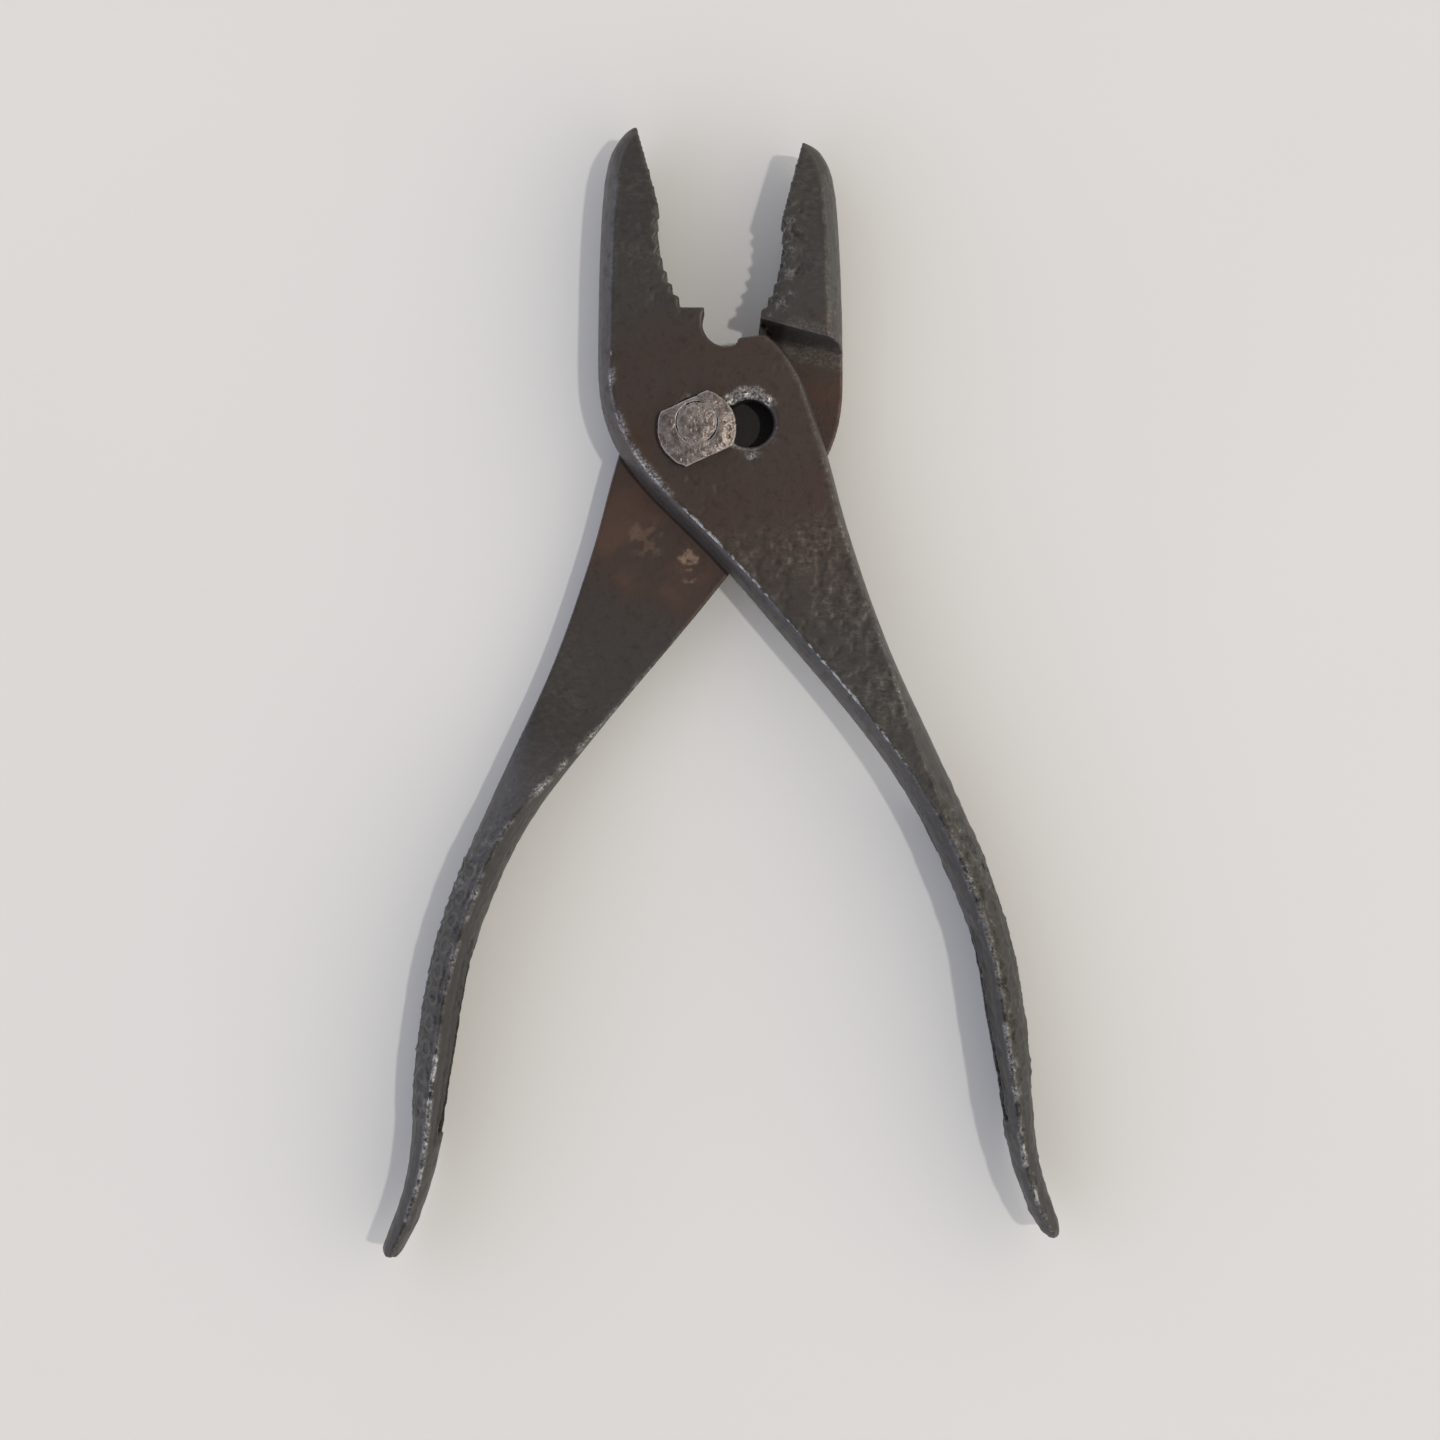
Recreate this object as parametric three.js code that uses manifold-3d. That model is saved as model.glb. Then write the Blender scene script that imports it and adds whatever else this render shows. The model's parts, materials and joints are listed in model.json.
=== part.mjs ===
// Slip-joint combination pliers: two forged steel levers that cross at a pin.
//
// The pin runs in a two-position slot in the front lever and turns in a round bore in
// the rear lever. A keeper washer with two flats holds the front lever on the pin.
//
// Frame: millimetres, origin on the pin axis at the outer face of its head. The pliers rest
// on that face and on the edges of both handles. +Z is out of the front face and +Y from
// the pin towards the jaws, with the pliers part open.
//
// Each lever is modelled in its own closed frame: u (x) is positive on the side of its
// own jaw, v (y) points to the jaw tip, z is 0 where the two levers meet, and its body lies
// on the side z < 0. The rear lever is used as it is. The front lever is the same forging
// turned over about v.

import * as THREE from 'three';
import { mergeVertices } from 'three/addons/utils/BufferGeometryUtils.js';
import Module from 'manifold-3d';

const wasm = await Module();
wasm.setup();

// ---------------------------------------------------------------- driving dimensions
const HALF_THICKNESS = 4.75;        // joint plane to the outer face of either lever's body
const HANDLE_HALF_WIDTH = 6.0;      // joint plane to either edge of a handle, at its widest
const HANDLE_TAPER = 2.2;           // how much less that is at the end of the handle
const JAW_TAPER = 0.9;              // how much the jaw thins on each face towards its tip
const LAP_GAP = 0.3;                // running gap between the two levers
const LAP_Z = -LAP_GAP / 2;         // the lap face of a lever, in its own frame

const JAW_TIP_V = 42.6;
const HANDLE_END_V = -122.4;
const PIVOT_OFFSET = 3.4;           // pin axis to the centreline of the closed pliers
const PIVOT_V = 0.3;                // pin axis above the zero of the lever's own frame
const FRONT_TURN = 15.4;            // degrees each lever is opened from the closed pose
const REAR_TURN = -15.1;

const DRAFT = 2.0;                  // how far the forged side slopes in, jaw side
const OUTER_DRAFT = 0.8;            // the same on the other side of the body
const RIDGE_WIDTH = 0.45;           // flat left on the top edge of a handle

const BODY_RADIUS = 16.1;           // round back corner of the body, about the front pin hole
const SWEEP_RADIUS = 16.5;          // room for that corner in the rear lever's shoulder

const PIN_RADIUS = 3.1;
const PIN_CLEARANCE = 0.2;
const PIN_FLATS = 4.6;              // across the two flats of the shank
const HOLE_RADIUS = PIN_RADIUS + PIN_CLEARANCE;
const SLOT_NECK = PIN_FLATS + 2 * PIN_CLEARANCE;
const SLOT_TRAVEL = 7.3;            // distance between the two pin positions
const SLOT_SLOPE = 14.8;            // degrees the slot falls from the first hole
const PIN_HEAD_RADIUS = 4.7;
const PIN_HEAD_DEPTH = 1.6;         // of its countersunk part

const KEEPER_RADIUS = 5.45;
const KEEPER_FLATS = 8.4;           // across the two flats of the keeper
const KEEPER_THICKNESS = 1.3;
const KEEPER_GAP = 0.25;            // keeper to front lever
const KEEPER_HOLE = [0.35, 0.75];   // pin axis from the plate's centre, along and across its flats
const KEEPER_TURN = 39.6;           // degrees its flats are turned in the rear lever's frame
const RIVET_RADIUS = 2.75;          // pin end that is riveted through the keeper

const TIP_FACE_U = 0.4;             // half the gap left between the closed jaw faces
const FINE_PITCH = 0.85;
const FINE_DEPTH = 0.35;
const COARSE_TEETH = 7;
const COARSE_DEPTH = 0.8;

const CHANNEL_TOP_V = -78.5;        // hollow on the inner face of each handle
const CHANNEL_END_V = -104.5;
const CHANNEL_DEPTH = 1.3;          // at its lower end, where it is also widest
const CHANNEL_HALF_HEIGHT = 3.2;

const STATION_STEP = 1.8;           // spacing of the lofted sections along a lever

// ---------------------------------------------------------------- small helpers
const radians = THREE.MathUtils.degToRad;
const clamp01 = (t) => Math.min(1, Math.max(0, t));

// 0 at `from`, 1 at `to`, eased at both ends.
function ease(value, from, to) {
  const t = clamp01((value - from) / (to - from));
  return t * t * (3 - 2 * t);
}

// A smooth curve u(v) through a few [v, u] points, listed from the lowest v to the highest.
function smoothThrough(points) {
  const slope = (i) => {
    const before = points[Math.max(i - 1, 0)];
    const after = points[Math.min(i + 1, points.length - 1)];
    return (after[1] - before[1]) / (after[0] - before[0]);
  };
  return (v) => {
    let i = 0;
    while (i < points.length - 2 && v > points[i + 1][0]) i += 1;
    const [v0, u0] = points[i];
    const [v1, u1] = points[i + 1];
    const span = v1 - v0;
    const t = clamp01((v - v0) / span);
    const t2 = t * t;
    const t3 = t2 * t;
    return (2 * t3 - 3 * t2 + 1) * u0 + (t3 - 2 * t2 + t) * span * slope(i)
      + (3 * t2 - 2 * t3) * u1 + (t3 - t2) * span * slope(i + 1);
  };
}

// ---------------------------------------------------------------- boolean kit
function toSolid(geometry) {
  const bare = geometry.clone();
  bare.deleteAttribute('normal');
  bare.deleteAttribute('uv');
  const merged = mergeVertices(bare, 1e-4);
  return new wasm.Manifold(new wasm.Mesh({
    numProp: 3,
    vertProperties: new Float32Array(merged.attributes.position.array),
    triVerts: new Uint32Array(merged.index.array),
  }));
}

function toGeometry(solid) {
  const mesh = solid.getMesh();
  const geometry = new THREE.BufferGeometry();
  geometry.setAttribute('position', new THREE.BufferAttribute(mesh.vertProperties, 3));
  geometry.setIndex(new THREE.BufferAttribute(mesh.triVerts, 1));
  geometry.computeVertexNormals();
  return geometry;
}

// A closed outline in the u, v plane, pushed through the thickness from z0 to z1.
function prismAlongZ(shape, z0, z1) {
  const settings = { depth: z1 - z0, bevelEnabled: false, curveSegments: 12 };
  const prism = new THREE.ExtrudeGeometry(shape, settings);
  return toSolid(prism.translate(0, 0, z0));
}

// An outline in the v, z plane, pushed across the lever from u0 to u1.
function prismAlongU(shape, u0, u1) {
  const settings = { depth: u1 - u0, bevelEnabled: false, curveSegments: 10 };
  const prism = new THREE.ExtrudeGeometry(shape, settings);
  const axes = new THREE.Matrix4().makeBasis(
    new THREE.Vector3(0, 1, 0), new THREE.Vector3(0, 0, 1), new THREE.Vector3(1, 0, 0));
  return toSolid(prism.applyMatrix4(axes).translate(u0, 0, 0));
}

// A round bar or cone on a vertical axis through (u, v).
function barAlongZ(u, v, z0, z1, radius0, radius1 = radius0, segments = 40) {
  const bar = new THREE.CylinderGeometry(radius1, radius0, z1 - z0, segments);
  return toSolid(bar.rotateX(Math.PI / 2).translate(u, v, (z0 + z1) / 2));
}

function box(u0, u1, v0, v1, z0, z1) {
  const block = new THREE.BoxGeometry(u1 - u0, v1 - v0, z1 - z0);
  return toSolid(block.translate((u0 + u1) / 2, (v0 + v1) / 2, (z0 + z1) / 2));
}

// Joins a row of sections into one closed solid. Every section is a ring with the same
// number of [u, z] points, running from +u over +z to -u, and the ends are capped.
function loft(stations, sectionAt) {
  const positions = [];
  const faces = [];
  const rings = stations.map((v) => sectionAt(v).map(([u, z]) => new THREE.Vector3(u, v, z)));
  const count = rings[0].length;
  rings.flat().forEach((point) => positions.push(point.x, point.y, point.z));
  for (let ring = 0; ring < rings.length - 1; ring += 1) {
    for (let i = 0; i < count; i += 1) {
      const a = ring * count + i;
      const b = ring * count + (i + 1) % count;
      faces.push(a, b + count, b, a, a + count, b + count);
    }
  }
  const capRing = (ring, flip) => {
    const cap = THREE.ShapeUtils.triangulateShape(rings[ring].map((p) => new THREE.Vector2(p.x, p.z)), []);
    const start = ring * count;
    cap.forEach(([a, b, c]) => faces.push(start + a, start + (flip ? c : b), start + (flip ? b : c)));
  };
  capRing(0, false);
  capRing(rings.length - 1, true);
  const geometry = new THREE.BufferGeometry();
  geometry.setAttribute('position', new THREE.Float32BufferAttribute(positions, 3));
  geometry.setIndex(faces);
  return toSolid(geometry);
}

// ---------------------------------------------------------------- outline of a lever
// Back of the jaw, belly below it, then the inner edge of the handle.
const jawSideEdge = smoothThrough([
  [HANDLE_END_V, -13.4], [-116, -12.1], [-108, -11.8], [-94, -13.2], [-80, -14.5],
  [-66, -13.2], [-56, -10.7], [-44, -5.8], [-30, 0.7], [-16, 7.3], [-6, 12.8], [0, 15.1],
  [5, 15.7], [10, 15.1], [20, 12.3], [30, 9.2], [37, 6.7], [40, 5.1], [41.8, 3.4], [JAW_TIP_V, 2.2],
]);

// Outer edge of the handle, up to the side of the body.
const handleSideEdge = smoothThrough([
  [HANDLE_END_V, -16.05], [-113, -15.4], [-106, -16.2], [-94, -18.6], [-80, -19.95],
  [-68, -19.3], [-52, -16.8], [-36, -14.2], [-20, -13.1], [-8, -13.1],
  [PIVOT_V, PIVOT_OFFSET - BODY_RADIUS],
]);

// 1 beside the inner edge below the belly, where the two forgings differ a little, and 0 well
// above and below it.
const belowBelly = (v) => ease(v, -10, -26) * ease(v, -64, -44);

const BODY_TOP_V = 10.4;

function leftEdge(v) {
  if (v <= PIVOT_V) return handleSideEdge(v);
  const abovePin = Math.min(v, BODY_TOP_V) - PIVOT_V;
  return PIVOT_OFFSET - Math.sqrt(BODY_RADIUS ** 2 - abovePin ** 2);
}

// ---------------------------------------------------------------- section of a lever
const LAP_START_V = -8;             // the body is built full above this and then cut back
const RISE_START_V = -40;           // the handle starts to rise above the lap face
const RISE_END_V = -64;

// Joint plane to the lever's own face: level over the body, thinner towards the jaw's tip,
// wider along the handle and narrower again at its end.
function faceHeight(v) {
  return HALF_THICKNESS
    - JAW_TAPER * ease(v, 26, JAW_TIP_V + 2)
    + (HANDLE_HALF_WIDTH - HALF_THICKNESS) * ease(v, -22, -72)
    - HANDLE_TAPER * ease(v, -96, HANDLE_END_V);
}

function farSideHeight(v) {
  if (v > LAP_START_V) return faceHeight(v);
  return LAP_Z + (faceHeight(v) - LAP_Z) * ease(v, RISE_START_V, RISE_END_V);
}

// Points of one side of a section, from the jaw-side edge over the face to the other edge.
// `height` is where the face lies and `inner` and `outer` are how far its edges are set in.
function sideProfile(left, right, height, inner, outer) {
  const steps = [[0.12, 0.3], [0.36, 0.62], [0.66, 0.85], [1, 1]];
  const z = (part) => LAP_Z + part * (height - LAP_Z);
  return [
    ...steps.map(([inset, rise]) => [right - inset * inner, z(rise)]),
    ...steps.toReversed().map(([inset, rise]) => [left + inset * outer, z(rise)]),
  ];
}

// Ring of a lever section: jaw-side edge, far face, outer edge, own face.
function leverSection(v, right) {
  const left = leftEdge(v);
  const width = right - left;
  const step = 0.05;
  const steepness = Math.hypot(1, (jawSideEdge(v + step) - jawSideEdge(v - step)) / (2 * step));
  const narrow = Math.min(DRAFT, 0.34 * width);
  const inner = v > BODY_TOP_V ? DRAFT * steepness : narrow;
  const ridge = width - narrow - RIDGE_WIDTH;
  const outer = OUTER_DRAFT + (ridge - OUTER_DRAFT) * ease(v, -34, -76);
  const rising = ease(v, RISE_START_V - 1, RISE_END_V);
  const farInner = v > LAP_START_V ? inner : 0.3 + (narrow - 0.3) * rising;
  const farOuter = v > LAP_START_V ? OUTER_DRAFT : width - farInner - RIDGE_WIDTH;
  const farSide = sideProfile(left, right, farSideHeight(v), farInner, farOuter);
  const ownSide = sideProfile(left, right, -faceHeight(v), inner, outer);
  return [[right, LAP_Z], ...farSide, [left, LAP_Z], ...ownSide.toReversed()];
}

// A solid lever before its cuts. The last stretch of the handle, `rounding` long, shrinks
// by `narrowing` to a round or a blunt end. `fullness` moves the inner edge below the belly.
function leverBlank({ handleEnd, rounding, narrowing, jawTip, fullness }) {
  const stations = [0, 0.3, 0.6, 1].map((part) => handleEnd + rounding * part);
  for (let v = stations.at(-1) + STATION_STEP; v < jawTip - 4; v += STATION_STEP) stations.push(v);
  [3.2, 2.2, 1.3, 0.6, 0].forEach((back) => stations.push(jawTip - back));
  return loft(stations, (v) => {
    const depth = clamp01((handleEnd + rounding - v) / rounding);
    const scale = Math.sqrt(1 - (narrowing * depth) ** 2);
    const right = jawSideEdge(v) + fullness * belowBelly(v);
    const middle = (leftEdge(v) + right) / 2;
    return leverSection(v, right)
      .map(([u, z]) => [middle + (u - middle) * scale, z * (0.4 + 0.6 * scale)]);
  });
}

// ---------------------------------------------------------------- cuts in a lever
const PIPE_GRIP_TOP = [TIP_FACE_U, 31];
const PIPE_GRIP_DEEPEST = [3.0, 24.5];      // control point of the hollow between its ends
const PIPE_GRIP_END = [1.1, 17.8];
// Ledge between the pipe grip and the wire notch, and the angle where the notch meets it.
const FRONT_LEDGE = { start: [1.6, 16.5], end: [-1.9, 15.5], notchFrom: 30 };
const REAR_LEDGE = { start: [1.6, 14.4], end: [-1.0, 13.7], notchFrom: 12 };
const NOTCH_CENTRE = [-4.2, 12.7];
const NOTCH_RADIUS = 3.3;
const BODY_LEDGE = [[-5.3, 10.2], [-8.7, 9.7], [-20, 9.7]];
const SHOULDER_FLOOR_V = 14.3;
const SHOULDER_TOP_V = 16.7;

// Teeth along a curve: crests on the curve, roots pushed into the jaw between them.
function teethAlong(curve, count, depth) {
  const points = [];
  for (let i = 0; i < count; i += 1) {
    const root = curve.getPointAt((i + 0.5) / count);
    points.push(new THREE.Vector2(root.x + depth, root.y));
    points.push(curve.getPointAt((i + 1) / count));
  }
  return points;
}

// Everything on the biting side of the jaw, and the throat below it.
function mouthCutter(ledge) {
  const point = ([u, v]) => new THREE.Vector2(u, v);
  const faceTop = new THREE.Vector2(TIP_FACE_U, JAW_TIP_V - 0.8);
  const face = new THREE.LineCurve(faceTop, point(PIPE_GRIP_TOP));
  const grip = new THREE.QuadraticBezierCurve(
    point(PIPE_GRIP_TOP), point(PIPE_GRIP_DEEPEST), point(PIPE_GRIP_END));
  const fineTeeth = Math.round(face.getLength() / FINE_PITCH);
  const beyond = JAW_TIP_V + 3;
  const shape = new THREE.Shape();
  shape.moveTo(TIP_FACE_U, beyond);
  shape.lineTo(faceTop.x, faceTop.y);
  teethAlong(face, fineTeeth, FINE_DEPTH).forEach((p) => shape.lineTo(p.x, p.y));
  teethAlong(grip, COARSE_TEETH, COARSE_DEPTH).forEach((p) => shape.lineTo(p.x, p.y));
  shape.lineTo(...ledge.start);
  shape.lineTo(...ledge.end);
  shape.absarc(...NOTCH_CENTRE, NOTCH_RADIUS, radians(ledge.notchFrom), radians(-100), true);
  BODY_LEDGE.forEach(([u, v]) => shape.lineTo(u, v));
  shape.lineTo(BODY_LEDGE.at(-1)[0], beyond);
  return prismAlongZ(shape, -HALF_THICKNESS - 1, HALF_THICKNESS + 1);
}

// Takes away the far half of the body, up to a hollow-rounded shoulder under the jaw, so
// that the other lever can lie there. A pocket makes room for the other lever's ledge.
function lapCutter() {
  const above = HALF_THICKNESS + 1;
  const low = LAP_START_V - 4;
  const beyond = 25;
  const shape = new THREE.Shape();
  shape.moveTo(low, LAP_Z);
  shape.lineTo(SHOULDER_FLOOR_V, LAP_Z);
  shape.quadraticCurveTo(SHOULDER_TOP_V - 0.3, LAP_Z, SHOULDER_TOP_V, above);
  shape.lineTo(low, above);
  const pocketEdge = 0.55 - FRONT_LEDGE.end[0];
  const pocket = box(-beyond, pocketEdge, low, FRONT_LEDGE.start[1], LAP_Z, above);
  return prismAlongU(shape, -beyond, beyond).add(pocket);
}

// Room for the front lever's round back corner to swing past the rear lever's shoulder.
function sweepCutter() {
  return barAlongZ(-PIVOT_OFFSET, PIVOT_V, LAP_Z, HALF_THICKNESS + 1, SWEEP_RADIUS, SWEEP_RADIUS, 72);
}

// A hollow along the inner face of the handle, growing deeper and wider towards its end.
function channelCutter() {
  const stations = [];
  for (let v = CHANNEL_END_V; v <= CHANNEL_TOP_V; v += 2) stations.push(v);
  return loft(stations, (v) => {
    const growth = (CHANNEL_TOP_V - v) / (CHANNEL_TOP_V - CHANNEL_END_V);
    const floor = jawSideEdge(v) - 0.2 - CHANNEL_DEPTH * Math.sqrt(growth);
    const half = CHANNEL_HALF_HEIGHT * (0.4 + 0.6 * growth);
    const mouth = jawSideEdge(v) + 3;
    return [[mouth, LAP_Z - half], [mouth, LAP_Z + half],
      [floor, LAP_Z + half * 0.8], [floor, LAP_Z - half * 0.8]];
  });
}

// Two pin positions joined by a neck that only the pin's flats can pass.
function slotCutter() {
  const face = -HALF_THICKNESS;
  const wear = 0.5;                   // worn chamfer round the mouth of each hole
  const hole = (u) => barAlongZ(u, 0, face - 1, 1, HOLE_RADIUS)
    .add(barAlongZ(u, 0, face - 0.1, face + wear, HOLE_RADIUS + wear + 0.1, HOLE_RADIUS));
  const neck = box(-SLOT_TRAVEL, 0, -SLOT_NECK / 2, SLOT_NECK / 2, face - 1, 1);
  const slot = hole(0).add(hole(-SLOT_TRAVEL)).add(neck);
  return slot.rotate([0, 0, SLOT_SLOPE]).translate([PIVOT_OFFSET, PIVOT_V, 0]);
}

// Round bore with a countersink for the pin's head.
function boreCutter() {
  const face = -HALF_THICKNESS;
  const bore = barAlongZ(-PIVOT_OFFSET, PIVOT_V, face - 1, 1, HOLE_RADIUS);
  const sink = barAlongZ(-PIVOT_OFFSET, PIVOT_V, face - 0.1, face + PIN_HEAD_DEPTH,
    PIN_HEAD_RADIUS + PIN_CLEARANCE + 0.1, HOLE_RADIUS);
  return bore.add(sink);
}

// ---------------------------------------------------------------- the pieces
function lever(blank, ledge) {
  return leverBlank(blank)
    .subtract(lapCutter())
    .subtract(mouthCutter(ledge))
    .subtract(channelCutter());
}

function frontLeverGeometry() {
  const blank = {
    handleEnd: HANDLE_END_V + 0.7, rounding: 2.2, narrowing: 0.86, jawTip: JAW_TIP_V, fullness: -0.5,
  };
  return toGeometry(lever(blank, FRONT_LEDGE).subtract(slotCutter()));
}

function rearLeverGeometry() {
  const blank = {
    handleEnd: HANDLE_END_V - 0.1, rounding: 0.7, narrowing: 0.6, jawTip: JAW_TIP_V - 0.5, fullness: 0.4,
  };
  return toGeometry(lever(blank, REAR_LEDGE).subtract(boreCutter()).subtract(sweepCutter()));
}

const KEEPER_Z = HALF_THICKNESS + KEEPER_GAP;

// Countersunk head that stands proud of the back, round shank, flatted waist in the slot,
// riveted end.
function pivotPinGeometry() {
  const bottom = -HANDLE_HALF_WIDTH;
  const back = -HALF_THICKNESS;
  const step = KEEPER_Z - 0.2;
  const top = KEEPER_Z + KEEPER_THICKNESS;
  const profile = [
    [0, bottom], [PIN_HEAD_RADIUS - 0.8, bottom], [PIN_HEAD_RADIUS - 0.25, bottom + 0.25],
    [PIN_HEAD_RADIUS, bottom + 0.75], [PIN_HEAD_RADIUS, back], [PIN_RADIUS, back + PIN_HEAD_DEPTH],
    [PIN_RADIUS, step], [RIVET_RADIUS, step], [RIVET_RADIUS, top - 0.1],
    [RIVET_RADIUS * 0.8, top + 0.12], [0, top + 0.2],
  ].map(([r, z]) => new THREE.Vector2(r, z));
  const turned = toSolid(new THREE.LatheGeometry(profile, 40).rotateX(Math.PI / 2));
  const half = PIN_FLATS / 2;
  const beyond = PIN_RADIUS + 1;
  return toGeometry(turned
    .subtract(box(-beyond, beyond, half, beyond, 0, step))
    .subtract(box(-beyond, beyond, -beyond, -half, 0, step)));
}

// Round plate with two flats, bored off centre for the pin's end.
function keeperGeometry() {
  const half = KEEPER_FLATS / 2;
  const flatAngle = Math.asin(half / KEEPER_RADIUS);
  const shape = new THREE.Shape();
  shape.absarc(0, 0, KEEPER_RADIUS, -flatAngle, flatAngle, false);
  shape.absarc(0, 0, KEEPER_RADIUS, Math.PI - flatAngle, Math.PI + flatAngle, false);
  const hole = new THREE.Path();
  hole.absarc(...KEEPER_HOLE, RIVET_RADIUS + 0.15, 0, 2 * Math.PI, true);
  shape.holes.push(hole);
  const plate = prismAlongZ(shape, KEEPER_Z, KEEPER_Z + KEEPER_THICKNESS);
  return toGeometry(plate.translate([-KEEPER_HOLE[0], -KEEPER_HOLE[1], 0]));
}

// ---------------------------------------------------------------- materials
const steel = (name, color, roughness) => new THREE.MeshStandardMaterial({
  name, color, roughness, metalness: 0.75,
});

const frontSteel = () => steel('front_lever_steel', 0x423a36, 0.55);
const rearSteel = () => steel('rear_lever_steel', 0x463c35, 0.6);
const pinSteel = () => steel('pin_steel', 0x8a8582, 0.45);
const keeperSteel = () => steel('keeper_steel', 0x95908d, 0.42);

// ---------------------------------------------------------------- assembly
function piece(name, geometry, material) {
  const mesh = new THREE.Mesh(geometry, material);
  mesh.name = name;
  return mesh;
}

function frontSide() {
  const side = new THREE.Group();
  side.rotation.z = radians(FRONT_TURN);
  const forging = piece('front_lever', frontLeverGeometry(), frontSteel());
  forging.rotation.y = Math.PI;
  forging.position.set(PIVOT_OFFSET, -PIVOT_V, 0);
  const pin = piece('pivot_pin', pivotPinGeometry(), pinSteel());
  pin.rotation.z = radians(-SLOT_SLOPE);
  side.add(forging, pin);
  return side;
}

function rearSide() {
  const side = new THREE.Group();
  side.rotation.z = radians(REAR_TURN);
  const forging = piece('rear_lever', rearLeverGeometry(), rearSteel());
  forging.position.set(PIVOT_OFFSET, -PIVOT_V, 0);
  const keeper = piece('keeper_washer', keeperGeometry(), keeperSteel());
  keeper.rotation.z = radians(KEEPER_TURN);
  side.add(forging, keeper);
  return side;
}

const pliers = new THREE.Group();
pliers.position.z = HANDLE_HALF_WIDTH;
pliers.add(frontSide(), rearSide());

export default pliers;
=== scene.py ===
import json
import math
from collections import namedtuple

import bpy
import numpy as np
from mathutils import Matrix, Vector


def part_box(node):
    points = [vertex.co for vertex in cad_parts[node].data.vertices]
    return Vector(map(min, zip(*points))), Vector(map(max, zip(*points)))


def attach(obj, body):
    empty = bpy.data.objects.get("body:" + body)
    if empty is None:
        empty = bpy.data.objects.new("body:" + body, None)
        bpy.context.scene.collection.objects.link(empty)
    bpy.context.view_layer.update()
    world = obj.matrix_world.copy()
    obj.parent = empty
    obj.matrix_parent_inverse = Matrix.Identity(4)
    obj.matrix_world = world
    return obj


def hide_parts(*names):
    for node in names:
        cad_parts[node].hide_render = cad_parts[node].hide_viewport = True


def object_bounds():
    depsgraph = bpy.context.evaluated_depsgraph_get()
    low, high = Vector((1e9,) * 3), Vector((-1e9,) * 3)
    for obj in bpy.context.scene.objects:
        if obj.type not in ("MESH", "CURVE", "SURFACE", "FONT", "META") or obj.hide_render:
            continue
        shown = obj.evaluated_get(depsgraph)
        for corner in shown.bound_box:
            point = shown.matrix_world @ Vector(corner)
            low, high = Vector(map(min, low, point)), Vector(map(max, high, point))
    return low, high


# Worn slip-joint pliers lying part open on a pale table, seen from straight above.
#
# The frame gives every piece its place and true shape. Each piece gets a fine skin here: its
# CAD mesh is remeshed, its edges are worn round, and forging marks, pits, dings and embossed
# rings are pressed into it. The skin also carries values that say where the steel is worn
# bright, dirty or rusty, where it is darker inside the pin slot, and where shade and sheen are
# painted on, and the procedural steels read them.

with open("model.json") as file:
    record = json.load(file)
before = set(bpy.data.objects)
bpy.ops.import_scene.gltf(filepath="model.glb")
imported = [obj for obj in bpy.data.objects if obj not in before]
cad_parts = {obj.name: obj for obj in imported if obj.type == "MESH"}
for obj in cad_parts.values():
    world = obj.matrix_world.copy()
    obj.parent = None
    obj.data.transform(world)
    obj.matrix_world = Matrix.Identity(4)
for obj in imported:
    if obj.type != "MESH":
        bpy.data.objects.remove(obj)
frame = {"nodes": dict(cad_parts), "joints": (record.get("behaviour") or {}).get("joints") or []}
CAD_BOX = [list(corner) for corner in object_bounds()]

MM = 0.001
SCENE = bpy.context.scene

# ------------------------------------------------------------------ places, from the frame
# Lengths below are in millimetres.
LOW, HIGH = (Vector(corner) / MM for corner in CAD_BOX)
JOINTS = {joint["name"]: joint for joint in frame["joints"]}
KEEPER_LOW, KEEPER_HIGH = (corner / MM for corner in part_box("keeper_washer"))
REAR_LOW, REAR_HIGH = (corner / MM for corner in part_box("rear_lever"))

MIDDLE_Z = (REAR_LOW.z + REAR_HIGH.z) / 2       # plane where the two levers meet
SLOT_TRAVEL = JOINTS["slip"]["range_m"][1] / MM
SECOND_HOLE = Vector(JOINTS["slip"]["axis"]) * SLOT_TRAVEL

LEVER_VOXEL = 0.22      # mesh size of the levers' skins
SMALL_VOXEL = 0.11      # and of the keeper's and the pin's


# ------------------------------------------------------------------ repeatable noise
NOISE_SHIFT = 1000.0    # keeps the numbers of the noise's cells positive


def cell_values(cells, seed):
    """A repeatable random value from 0 to 1 for every row of whole numbers."""
    x, y, z = (cells[:, axis].astype(np.uint32) for axis in range(3))
    mixed = x * np.uint32(73856093) ^ y * np.uint32(19349663) ^ z * np.uint32(83492791)
    mixed ^= np.uint32(seed * 2654435761 % 2**32)
    mixed = (mixed ^ (mixed >> 13)) * np.uint32(1274126177)
    mixed ^= mixed >> 16
    return (mixed & np.uint32(0xFFFFFF)) / float(0xFFFFFF)


def noise(points, size, seed):
    """Smooth random values from -1 to 1, with features about `size` across. Each seed gives
    a pattern of its own."""
    scaled = points / size + NOISE_SHIFT
    cells = np.floor(scaled).astype(np.int64)
    part = scaled - cells
    part = part * part * (3 - 2 * part)
    total = np.zeros(len(points))
    for corner in np.ndindex(2, 2, 2):
        share = np.where(corner, part, 1 - part).prod(axis=1)
        total += share * cell_values(cells + corner, seed)
    return 2 * total - 1


def rough_noise(points, size, seed, octaves=3):
    """Noise with finer noise on top of it, each octave half as big and half as strong."""
    layers = [noise(points, size / 2**i, seed + i) / 2**i for i in range(octaves)]
    return sum(layers)


def ease(values, start, end):
    """0 at start and 1 at end, eased at both ends."""
    t = np.clip((values - start) / (end - start), 0, 1)
    return t * t * (3 - 2 * t)


def within(values, low_end, high_end):
    """1 between two stretches and 0 outside them. Each runs from its 0 to its 1."""
    return ease(values, *low_end) * ease(values, *high_end)


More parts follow.
